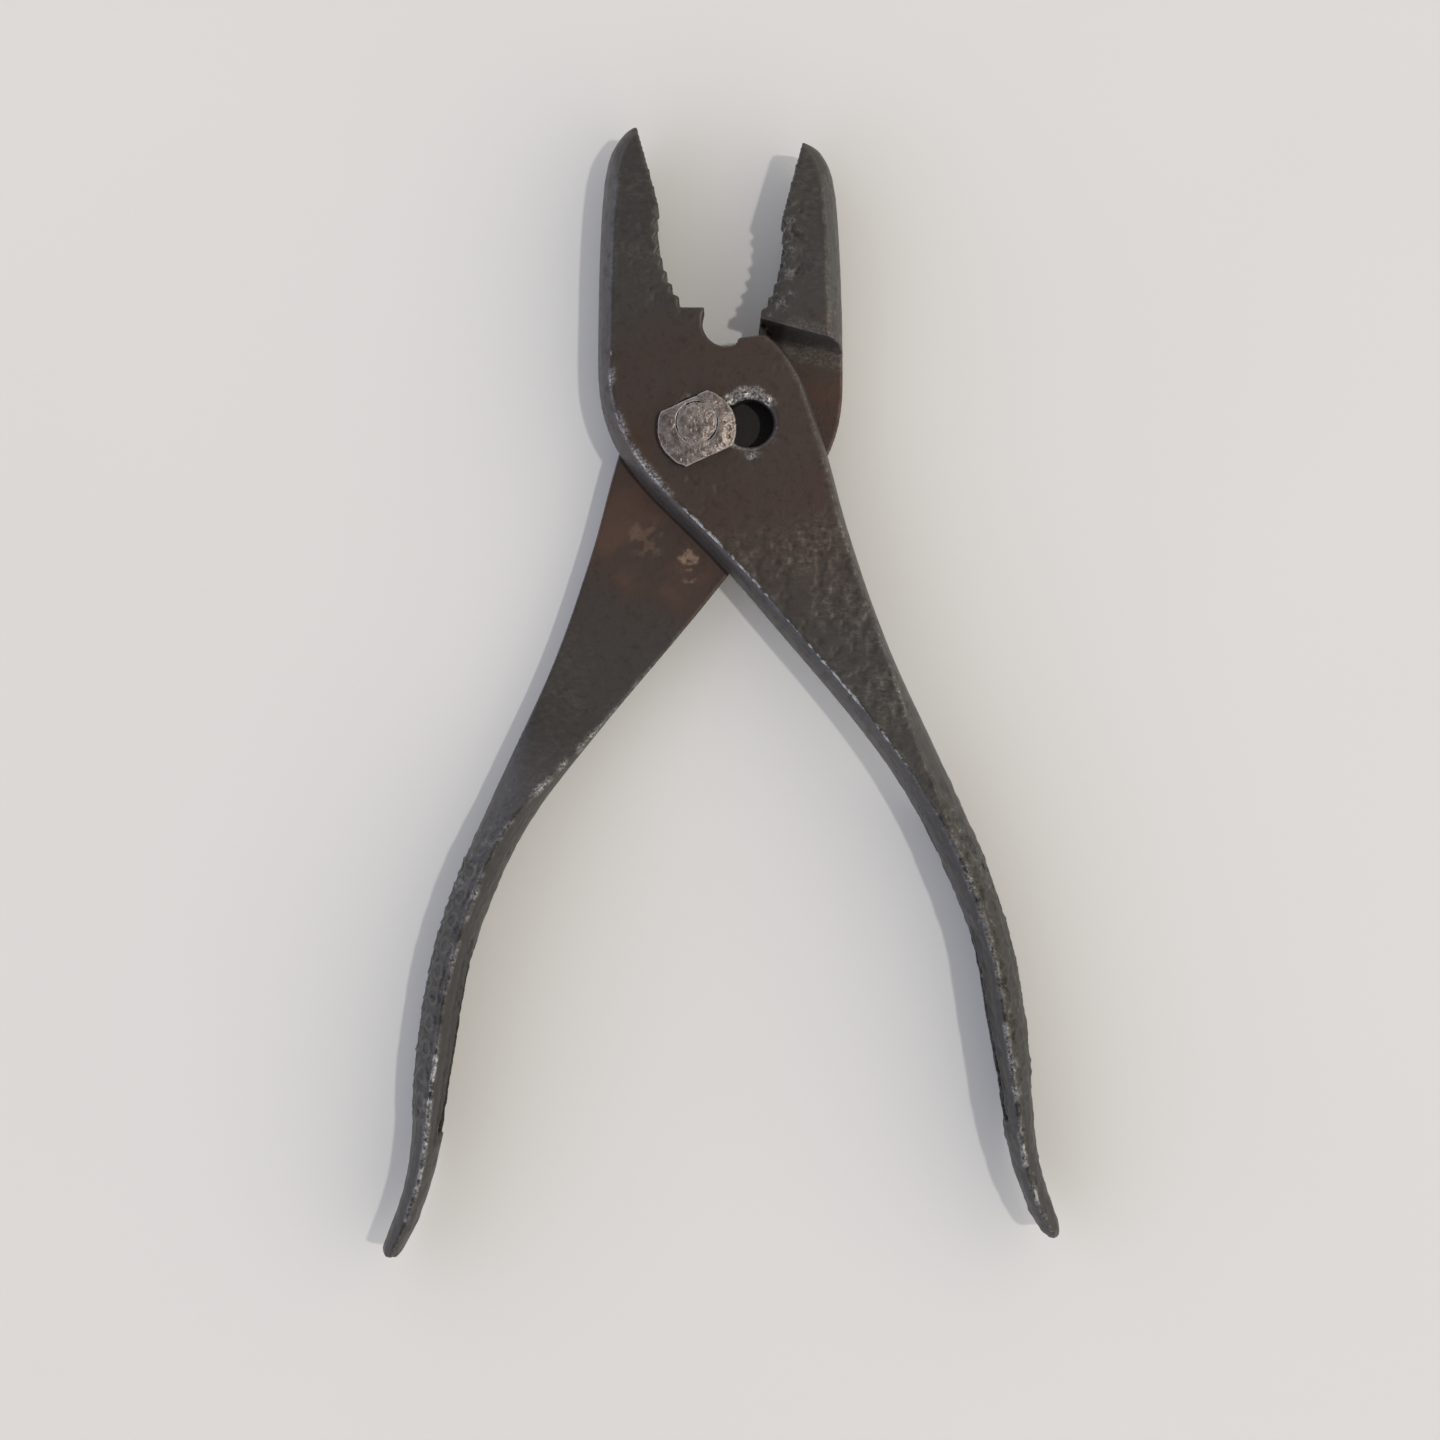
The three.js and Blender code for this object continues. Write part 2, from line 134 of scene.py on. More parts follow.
def near(points, centre, radius, softness=0.5):
    """1 close to a centre, easing to 0 at the radius. The noise makes its outline uneven."""
    away = np.linalg.norm(points - np.array(centre), axis=1)
    away += 0.25 * radius * rough_noise(points, radius * 0.6, 71)
    return ease(away, radius, radius * (1 - softness))


# ------------------------------------------------------------------ the fine skin of a piece
PULL_IN, PULL_OUT = 0.5, -0.46      # the two halves of a smoothing round


class Skin:
    """A fine copy of one CAD node, with its vertices in millimetres."""

    def __init__(self, node, name, voxel):
        self.object = remeshed_copy(frame["nodes"][node], name, voxel)
        self.mesh = self.object.data
        count = len(self.mesh.vertices)
        flat = np.empty(count * 3, np.float32)
        self.mesh.vertices.foreach_get("co", flat)
        self.points = flat.reshape(-1, 3).astype(float) / MM
        ends = np.empty(len(self.mesh.edges) * 2, np.int32)
        self.mesh.edges.foreach_get("vertices", ends)
        self.ends = ends.reshape(-1, 2)
        self.neighbours = np.bincount(ends, minlength=count)

    def around(self, values):
        """The mean of the neighbours of each vertex, for one column of values."""
        first, second = self.ends.T
        count = len(self.neighbours)
        total = np.bincount(first, values[second], count) + np.bincount(second, values[first], count)
        return total / self.neighbours

    def blurred(self, values, rounds):
        for _ in range(rounds):
            values = 0.5 * values + 0.5 * self.around(values)
        return values

    def blurred_points(self, rounds):
        return np.stack([self.blurred(column, rounds) for column in self.points.T], axis=1)

    def wear_round(self, rounds):
        """Evens out the voxel steps and rounds the edges, with little loss of size."""
        for _ in range(rounds):
            for share in (PULL_IN, PULL_OUT):
                mean = np.stack([self.around(column) for column in self.points.T], axis=1)
                self.points += share * (mean - self.points)

    def normals(self):
        self.write_points()
        flat = np.empty(len(self.points) * 3, np.float32)
        self.mesh.vertex_normals.foreach_get("vector", flat)
        return flat.reshape(-1, 3).astype(float)

    def bulge(self, rounds):
        """How far each vertex stands proud of the skin round it, negative in a hollow."""
        return ((self.points - self.blurred_points(rounds)) * self.normals()).sum(axis=1)

    def soften(self, where, rounds):
        """Rounds the skin off further where the share is 1."""
        self.points += where[:, None] * (self.blurred_points(rounds) - self.points)

    def push(self, distance):
        """Moves each vertex out along its normal by its own distance."""
        self.points += self.normals() * distance[:, None]

    def settle(self):
        """Flattens what would sink below the table, which is at height 0."""
        self.points[:, 2] = np.maximum(self.points[:, 2], 0)
        self.write_points()

    def write_points(self):
        self.mesh.vertices.foreach_set("co", (self.points * MM).astype(np.float32).ravel())
        self.mesh.update()

    def store(self, name, values):
        """Gives the steels a value from 0 to 1 at each vertex."""
        attribute = self.mesh.attributes.new(name, "FLOAT", "POINT")
        attribute.data.foreach_set("value", np.clip(values, 0, 1).astype(np.float32))


def remeshed_copy(source, name, voxel):
    """A new object with an even, closed mesh that follows the CAD node's surface."""
    copy = bpy.data.objects.new(name, source.data.copy())
    SCENE.collection.objects.link(copy)
    remesh = copy.modifiers.new("remesh", "REMESH")
    remesh.mode = "VOXEL"
    remesh.voxel_size = voxel * MM
    evaluated = copy.evaluated_get(bpy.context.evaluated_depsgraph_get())
    mesh = bpy.data.meshes.new_from_object(evaluated)
    copy.modifiers.clear()
    copy.data = mesh
    mesh.name = name
    mesh.materials.clear()
    mesh.polygons.foreach_set("use_smooth", [True] * len(mesh.polygons))
    return copy


# ------------------------------------------------------------------ the lever's own frame
PIVOT_ACROSS = 3.4      # pin axis to the centreline of the closed pliers
PIVOT_ALONG = 0.3

# What sets the two levers apart: how far each is turned from closed, the side of its jaw, and
# how strong its scale, its embossed rings, the bruises of its teeth and its crust are.
Lever = namedtuple("Lever", "turn side scale rings bruises crust")
FRONT = Lever(turn=math.radians(15.4), side=-1, scale=1.3, rings=0.4, bruises=0.05, crust=1.0)
REAR = Lever(turn=math.radians(-15.1), side=1, scale=0.8, rings=1.0, bruises=0.26, crust=0.75)


def lever_places(points, lever):
    """Each point in its lever's frame: across (jaw side positive), along and out of the lap."""
    x = points[:, 0] * math.cos(lever.turn) + points[:, 1] * math.sin(lever.turn)
    y = points[:, 1] * math.cos(lever.turn) - points[:, 0] * math.sin(lever.turn)
    across = lever.side * (x - PIVOT_ACROSS)
    return across, y + PIVOT_ALONG, lever.side * (points[:, 2] - MIDDLE_Z)


# ------------------------------------------------------------------ marks on the levers
RING_TOP = -64.0        # first and last embossed ring, along the lever
RING_END = -104.0
RING_PITCH = 3.6
RING_RADIUS = 1.1
RING_WIDTH = 0.28
RING_HEIGHT = 0.24
RING_ROWS = (-4.8, -2.4, 0.0, 2.4, 4.8)     # round the handle, from its outermost line
CHANNEL_TOP = -78.5     # ends of the hollow on the inner face of a handle
CHANNEL_END = -104.5
HOLE_RADIUS = 3.3       # of either end of the pin slot
STEP_PLACE = 15.5       # along the lever, where the jaw rises from the lap
LAP_WEAR = 0.03         # what rubbing has taken off each flat where the levers meet
TIP_WEAR = 2.2          # length of the worn tip of a jaw

# Stretches along a lever over which a look comes in, from none of it to all of it. The jaw is
# at the positive end and the handle at the negative end.
TO_HANDLE = (-44.0, -70.0)          # the smooth shank turns into the crusted handle
# Over the next stretch, painted shade comes in on the inner side of the handle.
TO_PALM_SHADE = (-50.0, -66.0)            # the inner side of the handle darkens
TO_FRONT_RIDGE = (-60.0, -72.0)     # the edge of the handle stands out as a ridge
TO_REAR_RIDGE = (-50.0, -62.0)
TO_LOW_RIDGE = (-86.0, -96.0)       # the ridge is worn brightest
TO_HANDLE_END = (-117.0, -120.0)
TO_SHANK = (-12.0, -38.0)           # brown oxide turns to grey, towards the handle
TO_JAW = (6.0, 22.0)                # brown oxide turns to grey, towards the jaw
TO_SCUFFED_JAW = (16.0, 26.0)

# Middles of the rust and the stains, from the pin's axis.
FRONT_RUST = (-7.0, -9.0, MIDDLE_Z + 5)
ROOT_RUST = (-6.0, -17.0, MIDDLE_Z)
RECESS_RUST = (17.0, 10.0, MIDDLE_Z)
ROUND_STAIN = (-7.0, -15.3, MIDDLE_Z)
LARGE_SPOT = (-1.3, -17.9, MIDDLE_Z)
SMALL_SPOT = (-1.3, -20.8, MIDDLE_Z)


def handle_line(across, along, side):
    """Where the handle's outermost (side -1) or innermost (side 1) line lies beside each point."""
    step = 1.0
    stations = np.arange(along.min(), RING_TOP + 10, step)
    bins = ((along - stations[0]) / step).astype(int)
    inside = bins < len(stations)
    furthest = np.full(len(stations), -np.inf)
    np.maximum.at(furthest, bins[inside], side * across[inside])
    return side * np.interp(along, stations + step / 2, furthest)


def in_channel(across, along, out):
    """1 in the hollow along the inner face of the handle and on its rims."""
    inset = handle_line(across, along, 1) - across
    in_length = within(along, (CHANNEL_END - 2, CHANNEL_END - 1), (CHANNEL_TOP + 3, CHANNEL_TOP))
    return in_length * ease(inset, 2.0, 1.4) * ease(np.abs(out), 4.4, 3.6)


def embossed_rings(across, along, out):
    """1 on the rows of small rings on the outer face of a handle, and 0 beside them."""
    inset = across - handle_line(across, along, -1)
    round_handle = np.sign(out) * np.hypot(out, inset)
    height = np.zeros(len(across))
    for row, centre in enumerate(RING_ROWS):
        shift = RING_PITCH / 2 * (row % 2)
        nearest = np.round((along - RING_TOP - shift) / RING_PITCH) * RING_PITCH + RING_TOP + shift
        away = np.hypot(along - nearest, round_handle - centre)
        ring = np.exp(-(((away - RING_RADIUS) / RING_WIDTH) ** 2))
        height = np.maximum(height, ring)
    in_length = within(along, (RING_END - 1, RING_END + 3), (RING_TOP + 1, RING_TOP - 3))
    outside = ease(inset, 3.8, 3.0)
    return height * in_length * outside


def forging_marks(points, on_handle):
    """Shallow waves and scattered pits that a hammer, scale and rust have left."""
    strength = 0.5 + 0.8 * on_handle
    waves = 0.035 * noise(points, 7.0, 11) + 0.02 * noise(points, 2.6, 12)
    scale = 0.1 * on_handle * rough_noise(points, 1.5, 15)
    pitted = ease(rough_noise(points, 9.0, 13), -0.1, 0.7)
    pits = ease(rough_noise(points, 1.1, 14), 0.45, 1.0) * (0.2 + pitted)
    return strength * (waves - 0.09 * pits) + scale


def at_teeth(across, along):
    """1 on the coarse teeth, where pipes were gripped."""
    return ease(across, 5.6, 4.2) * within(along, (STEP_PLACE, 18), (35, 30))


def brownness(along):
    """1 round the pivot, where the oxide is brown, easing to grey on the jaw and the handle."""
    return (1 - 0.9 * ease(along, *TO_JAW)) * (1 - 0.8 * ease(along, *TO_SHANK))


def in_mouth(across, along):
    """1 on the inner faces of the jaws."""
    return ease(across, 5.2, 4.2) * ease(along, 8, 9.5)


def on_lap(along, out):
    """1 on the flats where the two levers rub on each other."""
    return ease(np.abs(out), 0.6, 0.3) * within(along, (-56, -40), (19, 17))


def at_step(across, along, outer, inner):
    """1 where the jaw rises from the lap, easing to 0 from the inner distance to the outer."""
    return ease(np.abs(along - STEP_PLACE), outer, inner) * ease(across, 4.5, 5.5)


def on_jaw_side(across, along):
    """1 on the half of a lever's shank or handle that is towards its jaw."""
    centre_line = 1.8 + 0.285 * along
    return ease(across - centre_line, -0.5, 1.0) * ease(along, 14, 10)


def age_lever(skin, lever):
    """Wears, pits and embosses one lever. Gives back its vertices' places in its own frame
    and how worn its edges are."""
    skin.wear_round(3)
    edge = ease(skin.bulge(6), 0.012, 0.034)
    places = lever_places(skin.points, lever)
    along = places[1]
    tip = along.max()
    skin.soften(ease(along, tip - TIP_WEAR, tip - 0.4), 16)
    press_marks(skin, places, edge, lever)
    kept_dark = store_looks(skin, places, lever)
    return *places, edge * (1 - 0.85 * kept_dark)


def press_marks(skin, places, edge, lever):
    """Presses forging marks, battered edges, bruised teeth and rings into a lever's skin."""
    across, along, out = places
    on_handle = ease(along, *TO_HANDLE)
    lap = on_lap(along, out)
    rings = lever.rings * embossed_rings(across, along, out)
    knocks = ease(rough_noise(skin.points, 1.7, 21), 0.15, 0.9) * (0.02 + 0.1 * on_handle)
    bruises = at_teeth(across, along) * ease(rough_noise(skin.points, 1.3, 51), 0.1, 0.9)
    marks = forging_marks(skin.points, lever.scale * on_handle)
    marks -= edge * knocks + lever.bruises * bruises
    skin.push(marks * (1 - lap) + RING_HEIGHT * rings - LAP_WEAR * lap)
    skin.store("ring", rings)


def store_looks(skin, places, lever):
    """Stores what both levers' steels read. Gives back where edges are kept from shining."""
    across, along, out = places
    on_handle = ease(along, *TO_HANDLE)
    mouth, channel = in_mouth(across, along), in_channel(across, along, out)
    dents = -skin.bulge(8) * (1 + 0.8 * on_handle)
    # Painted shade: dents, the channel on the inner face of each handle and the handle's
    # sideways-facing inner side are darkened, less so where the jaw rises from the lap.
    hollow_shade = ease(dents, 0.02, 0.12) * (1 - 0.9 * at_step(across, along, 5.5, 3.5))
    # Painted sheen: how far each surface faces sideways, read by the steels to paint the sloped sides
    # paler.
    side = ease(np.abs(skin.normals()[:, 2]), 0.93, 0.6) * (1 - mouth)
    shaded_palm_side = on_jaw_side(across, along) * side * ease(along, *TO_PALM_SHADE)
    skin.store("hollow_shade", np.maximum.reduce([hollow_shade, channel, 0.35 * shaded_palm_side]))
    skin.store("crust", lever.crust * on_handle * (1 - 0.8 * shaded_palm_side))
    skin.store("side", side)
    skin.store("brown", brownness(along))
    return np.maximum.reduce([mouth, channel, ease(along, *TO_HANDLE_END), on_lap(along, out)])


def beside_edges(skin, edge):
    """1 in a band on both sides of the worn edges."""
    return np.clip(2.2 * skin.blurred(edge, 7), 0, 1)


def speckled_edges(skin, edge):
    """A band of bright specks beside the worn edges, thicker in some stretches than in others."""
    return beside_edges(skin, edge) * ease(rough_noise(skin.points, 2.2, 33), -0.6, 0.6)


def worn_rim(points):
    """Bare, battered steel round the empty pin hole, most of it above and below left."""
    from_hole = points[:, :2] - np.array(SECOND_HOLE.xy)
    radius = np.hypot(*from_hole.T)
    turn = np.degrees(np.arctan2(from_hole[:, 1], from_hole[:, 0]))
    above = ease(np.abs(turn - 102), 72, 50)
    below_left = ease(np.abs(turn + 112), 48, 26)
    radius += 0.35 * rough_noise(points, 1.2, 34)
    ring = ease(radius, HOLE_RADIUS + 1.9, HOLE_RADIUS + 1.2)
    broken = ease(rough_noise(points, 1.4, 31), -0.7, 0.4)
    return ring * broken * np.maximum(above, 0.8 * below_left)


def in_slot(points):
    """1 within the pin slot's two holes and neck, easing to 0 just outside."""
    along_slot = np.clip(points[:, :2] @ np.array(SECOND_HOLE.xy) / SLOT_TRAVEL**2, 0, 1)
    away = np.linalg.norm(points[:, :2] - along_slot[:, None] * np.array(SECOND_HOLE.xy), axis=1)
    return ease(away, HOLE_RADIUS + 0.5, HOLE_RADIUS)


def rust_stains(points):
    """A pale round stain and two crusted spots on the rear lever's root."""
    stain = 0.35 * near(points, ROUND_STAIN, 3.0, 0.4)
    large_spot = near(points, LARGE_SPOT, 1.6, 0.3)
    small_spot = 0.8 * near(points, SMALL_SPOT, 1.3, 0.3)
    uneven = ease(rough_noise(points, 1.1, 62), -0.35, 0.25)
    return np.maximum.reduce([stain, large_spot, small_spot]) * uneven


def front_lever():
    skin = Skin("front_lever", "front_lever_skin", LEVER_VOXEL)
    across, along, out, edge = age_lever(skin, FRONT)
    on_top = ease(out, -4.0, -4.4)
    rim = worn_rim(skin.points) * on_top
    skin.push(0.14 * rim * rough_noise(skin.points, 0.8, 32))
    jaw_side = on_jaw_side(across, along)
    belly = jaw_side * within(along, (-14, -6), (14, 8))
    ridge, low_ridge = ease(along, *TO_FRONT_RIDGE), ease(along, *TO_LOW_RIDGE)
    inner_edge = jaw_side * within(along, (-62, -48), (-2, -10))
    skin.store("edge", edge * (0.4 + 0.4 * inner_edge - 0.2 * ridge + 0.35 * low_ridge))
    brightness = 0.1 + 0.65 * belly + 0.25 * ridge + 0.3 * low_ridge
    skin.store("bare_and_sheen", np.maximum(0.8 * rim, speckled_edges(skin, edge) * brightness))
    rubbed = within(along, (-60, -40), (-13, -20)) * on_top
    flaky = ease(rough_noise(skin.points, 1.2, 36), 0.0, 0.7)
    skin.push(-0.06 * rubbed * flaky)
    outer_edge = beside_edges(skin, edge) * ease(across, -8, -10) * ease(along, 2, -8)
    handle_edge = 0.6 * ridge * beside_edges(skin, edge)
    jaw = 0.4 * ease(along, *TO_SCUFFED_JAW)
    skin.store("scuff_and_sheen", np.maximum.reduce([0.6 * rubbed, outer_edge, handle_edge, jaw]))
    skin.store("rust", 0.25 * near(skin.points, FRONT_RUST, 10) * on_top)
    skin.store("stain", np.zeros(len(along)))
    # Darker and duller inside the pin slot.
    skin.store("slot_dark", in_slot(skin.points) * ease(out, -4.5, -4.1))
    skin.settle()
    return dress(skin.object, "front_lever", "front_lever")


def rear_lever():
    skin = Skin("rear_lever", "rear_lever_skin", LEVER_VOXEL)
    across, along, out, edge = age_lever(skin, REAR)
    root, recess = near(skin.points, ROOT_RUST, 11), near(skin.points, RECESS_RUST, 9)
    ridge, low_ridge = ease(along, *TO_REAR_RIDGE), ease(along, *TO_LOW_RIDGE)
    inner_edge = on_jaw_side(across, along) * within(along, (-84, -76), (-24, -32))
    skin.store("edge", edge * (0.35 - 0.1 * ridge + 0.4 * low_ridge))
    speckled = speckled_edges(skin, edge) * (0.1 + 0.6 * inner_edge + 0.15 * low_ridge)
    bruised = 0.25 * at_teeth(across, along) * ease(rough_noise(skin.points, 1.0, 52), 0.1, 0.8)
    # Painted highlight: the step where the rear jaw rises from the lap lies in shade, and is lightened
    # with scuffs and a few specks of bare steel.
    step = at_step(across, along, 3.0, 2.0)
    skin.store("bare_and_sheen", np.maximum.reduce([speckled, bruised, 0.08 * step]))
    skin.store("rust", np.maximum(root, 0.6 * recess))
    skin.store("stain", rust_stains(skin.points))
    shank = 0.3 * within(along, (-70, -56), (-24, -40))
    # Painted sheen: the rear jaw's outer slope, which faces the light, is scuffed paler.
    jaw_back_sheen = ease(across, 9, 11) * ease(along, 12, 18)
    jaw = 0.4 * ease(along, *TO_SCUFFED_JAW)
    handle_edge = 0.6 * ridge * beside_edges(skin, edge)
    skin.store("scuff_and_sheen", np.maximum.reduce([shank, jaw_back_sheen, jaw, step, handle_edge]))
    # Darker and duller inside the pin slot.
    skin.store("slot_dark", in_slot(skin.points) * ease(np.abs(out), 1.0, 0.5))
    skin.settle()
    return dress(skin.object, "rear_lever", "rear_lever")


# ------------------------------------------------------------------ keeper and pin
KEEPER_SLOPE = (3.0, 5.6)   # radii between which the keeper is hammered down towards its rim
KEEPER_DROP = 0.3
RIVET_SPREAD = 0.065        # how much wider the hammered end of the pin is than its shank


def hammered(skin):
    """Coarse dents and pits of an old rivet."""
    dents = 0.063 * rough_noise(skin.points, 1.8, 41, 4)
    pits = 0.117 * ease(rough_noise(skin.points, 0.62, 42), 0.25, 0.95)
    return dents - pits


def keeper_washer():
    skin = Skin("keeper_washer", "keeper_washer_skin", SMALL_VOXEL)
    skin.wear_round(10)
    middle = (KEEPER_LOW + KEEPER_HIGH) / 2
    radius = np.hypot(*(skin.points[:, :2] - np.array(middle.xy)).T)
    on_top = ease(skin.points[:, 2], KEEPER_LOW.z + 0.5, KEEPER_HIGH.z - 0.2)
    skin.points[:, 2] -= on_top * KEEPER_DROP * ease(radius, *KEEPER_SLOPE)
    outside = ease(skin.points[:, 2], KEEPER_LOW.z + 0.15, KEEPER_LOW.z + 0.5)
    edge = ease(skin.bulge(14), 0.01, 0.09)
    skin.push(outside * hammered(skin))
    skin.store("edge", edge)
    # Painted shade in the skin's hollows.
    skin.store("hollow_shade", ease(-skin.bulge(6), 0.01, 0.06))
    return dress(skin.object, "keeper_washer", "rear_lever")


def pivot_pin():
    skin = Skin("pivot_pin", "pivot_pin_skin", SMALL_VOXEL)
    skin.wear_round(6)
    height = skin.points[:, 2]
    at_ends = np.maximum(ease(height, KEEPER_LOW.z + 0.6, KEEPER_HIGH.z - 0.1), ease(height, 1.2, 0.4))
    edge = ease(skin.bulge(14), 0.01, 0.09)
    near_top = ease(height, KEEPER_LOW.z + 0.4, KEEPER_LOW.z + 0.9)
    spread = near_top * ease(noise(skin.points, 2.6, 61), -0.7, 0.1)
    skin.points[:, :2] *= 1 + RIVET_SPREAD * spread[:, None]
    skin.push(at_ends * hammered(skin))
    skin.store("edge", edge)
    # Painted shade in the skin's hollows.
    skin.store("hollow_shade", ease(-skin.bulge(6), 0.01, 0.06))
    skin.settle()
    return dress(skin.object, "pivot_pin", "pivot_pin")


def dress(obj, node, body):
    """Ties a skin to the CAD node it stands for."""
    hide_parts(node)
    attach(obj, body)
    return obj


# ------------------------------------------------------------------ building materials
class Steel:
    """Short calls for one material's nodes. Places are in millimetres."""

    def __init__(self, name):
        self.material = bpy.data.materials.new(name)
        self.material.use_nodes = True
        self.tree = self.material.node_tree
        self.surface = self.tree.nodes["Principled BSDF"]
        place = self.tree.nodes.new("ShaderNodeTexCoord").outputs["Object"]
        scaled = self.tree.nodes.new("ShaderNodeVectorMath")
        scaled.operation = "SCALE"
        scaled.inputs["Scale"].default_value = 1 / MM
        self.tree.links.new(place, scaled.inputs[0])
        self.place = scaled.outputs[0]

    def connect(self, value, socket):
        if hasattr(value, "is_output"):
            self.tree.links.new(value, socket)
        else:
            socket.default_value = value

    def value(self, attribute):
        node = self.tree.nodes.new("ShaderNodeAttribute")
        node.attribute_name = attribute
        return node.outputs["Fac"]

    def share(self, attribute, pattern):
        """How much of a stored value shows through a pattern or a plain factor."""
        return self.math("MULTIPLY", self.value(attribute), pattern)

    def noise(self, size, detail=4.0, roughness=0.6, stretch=(1, 1, 1)):
        """A pattern with features about `size` across, from 0 to 1 and mostly near 0.5."""
        place = self.tree.nodes.new("ShaderNodeMapping")
        place.inputs["Scale"].default_value = [1 / part for part in stretch]
        self.connect(self.place, place.inputs["Vector"])
        node = self.tree.nodes.new("ShaderNodeTexNoise")
        node.inputs["Scale"].default_value = 1 / size
        node.inputs["Detail"].default_value = detail
        node.inputs["Roughness"].default_value = roughness
        self.connect(place.outputs[0], node.inputs["Vector"])
        return node.outputs["Fac"]

    def pits(self, size):
        """0 in the middle of scattered cells and 1 between them."""
        node = self.tree.nodes.new("ShaderNodeTexVoronoi")
        node.inputs["Scale"].default_value = 1 / size
        self.connect(self.place, node.inputs["Vector"])
        return self.between(node.outputs["Distance"], 0.08, 0.4)

    def math(self, operation, first, second=0.0):
        node = self.tree.nodes.new("ShaderNodeMath")
        node.operation = operation
        self.connect(first, node.inputs[0])
        self.connect(second, node.inputs[1])
        return node.outputs[0]

    def between(self, value, start, end, low=0.0, high=1.0):
        """Runs smoothly from low to high as the value goes from start to end."""
        node = self.tree.nodes.new("ShaderNodeMapRange")
        node.interpolation_type = "SMOOTHSTEP"
        node.inputs["From Min"].default_value = start
        node.inputs["From Max"].default_value = end
        node.inputs["To Min"].default_value = low
        node.inputs["To Max"].default_value = high
        self.connect(value, node.inputs["Value"])
        return node.outputs["Result"]

    def blend(self, share, first, second):
        """A colour that goes from the first to the second."""
        node = self.tree.nodes.new("ShaderNodeMix")
        node.data_type = "RGBA"
        self.connect(share, node.inputs["Factor"])
        self.connect(first, node.inputs["A"])
        self.connect(second, node.inputs["B"])
        return node.outputs["Result"]

    def bump(self, height, depth, strength, under=None):
        """Normals of a surface with small heights on it, on top of other bumps if given."""
        node = self.tree.nodes.new("ShaderNodeBump")
        node.inputs["Strength"].default_value = strength
        node.inputs["Distance"].default_value = depth * MM
        self.connect(height, node.inputs["Height"])
        if under is not None:
            self.connect(under, node.inputs["Normal"])
        return node.outputs["Normal"]

    def finish(self, colour, metallic, roughness, normal):
        self.connect(colour, self.surface.inputs["Base Color"])
        self.connect(metallic, self.surface.inputs["Metallic"])
        self.connect(roughness, self.surface.inputs["Roughness"])
        self.connect(normal, self.surface.inputs["Normal"])
        return self.material


def shade(red, green, blue):
    return (red, green, blue, 1.0)


BROWN_OXIDE = shade(0.076, 0.050, 0.041)
GREY_OXIDE = shade(0.068, 0.064, 0.060)
# A paler oxide, painted on sideways-facing surfaces as sheen.
PAINTED_SIDE_SHEEN = shade(0.115, 0.110, 0.112)
# Black for dirt, also used to paint shade into hollows.
BLACK_DIRT_AND_SHADE = shade(0.010, 0.009, 0.008)
RUST = shade(0.084, 0.042, 0.026)
PALE_RUST = shade(0.27, 0.18, 0.125)
BARE_STEEL = shade(0.55, 0.55, 0.55)
RUBBED_STEEL = shade(0.17, 0.165, 0.145)
PINK_STEEL = shade(0.17, 0.140, 0.125)
PALE_STEEL = shade(0.31, 0.270, 0.248)
BROWN_PIT_AND_SHADE = shade(0.045, 0.034, 0.028)
WARM_TABLE = shade(0.78, 0.77, 0.745)
PALE_TABLE = shade(0.82, 0.81, 0.79)


# ------------------------------------------------------------------ steels
def oxide_layer(steel, brown, broad, mottle):
    """Dark oxide, brown round the pivot and grey beyond it, with a painted sheen that makes the
    sideways-facing surfaces paler.
    """
    warm = steel.share("brown", steel.between(broad, 0.3, 0.65, brown * 0.6, brown))
    colour = steel.blend(warm, GREY_OXIDE, BROWN_OXIDE)
    # Painted sheen: sideways-facing surfaces are painted paler.
    colour = steel.blend(steel.share("side", 0.7), colour, PAINTED_SIDE_SHEEN)
    return steel.blend(steel.between(mottle, 0.45, 0.72, 0.0, 0.4), colour, BLACK_DIRT_AND_SHADE)


def rubbed_layer(steel, colour, broad):
    """Uneven grey scuffs, painted sheen on the rear jaw's step and outer slope, and the tops of the
    embossed rings.
    """
    flecks = steel.noise(0.7, detail=6.0, roughness=0.75, stretch=(1.7, 0.9, 1))
    patches = steel.share("scuff_and_sheen", steel.between(broad, 0.38, 0.58, 0.15, 1.0))
    patches = steel.math("MULTIPLY", patches, steel.between(flecks, 0.44, 0.68, 0.0, 0.85))
    patches = steel.math("MAXIMUM", patches, steel.share("ring", 0.55))
    return steel.blend(patches, colour, RUBBED_STEEL)


def dark_layer(steel, colour, mottle):
    """Dirt in the crust's pits, painted shade in hollows, in the handle's channel and on its inner
    side, and darker inside the pin slot.
    """
    crust_pits = steel.share("crust", steel.between(mottle, 0.55, 0.4, 0.0, 0.8))
    # The crust's pits are dirt, the hollows get painted shade, and the pin slot is darkened.
    for share in (crust_pits, steel.share("hollow_shade", 0.7), steel.share("slot_dark", 0.9)):
        colour = steel.blend(share, colour, BLACK_DIRT_AND_SHADE)
    return colour


def bare_share(steel, broad, mottle, grain):
    """How much bare metal shows: ragged worn edges, battered patches, a faint painted highlight on the
    rear jaw's step and the crust's crests.
    """
    ragged = steel.math("ADD", steel.value("edge"), steel.between(mottle, 0.3, 0.7, -0.5, 0.35))
    ragged = steel.math("ADD", ragged, steel.between(broad, 0.35, 0.65, -0.2, 0.15))
    worn = steel.between(ragged, 0.5, 0.95, 0.0, 0.75)
    patch = steel.share("bare_and_sheen", steel.between(grain, 0.42, 0.6, 0.05, 1.0))
    fine_crests = steel.between(grain, 0.56, 0.72, 0.0, 0.3)
    crests = steel.math("MAXIMUM", fine_crests, steel.between(mottle, 0.54, 0.7, 0.0, 0.4))
    return steel.math("MAXIMUM", worn, steel.math("MAXIMUM", patch, steel.share("crust", crests)))


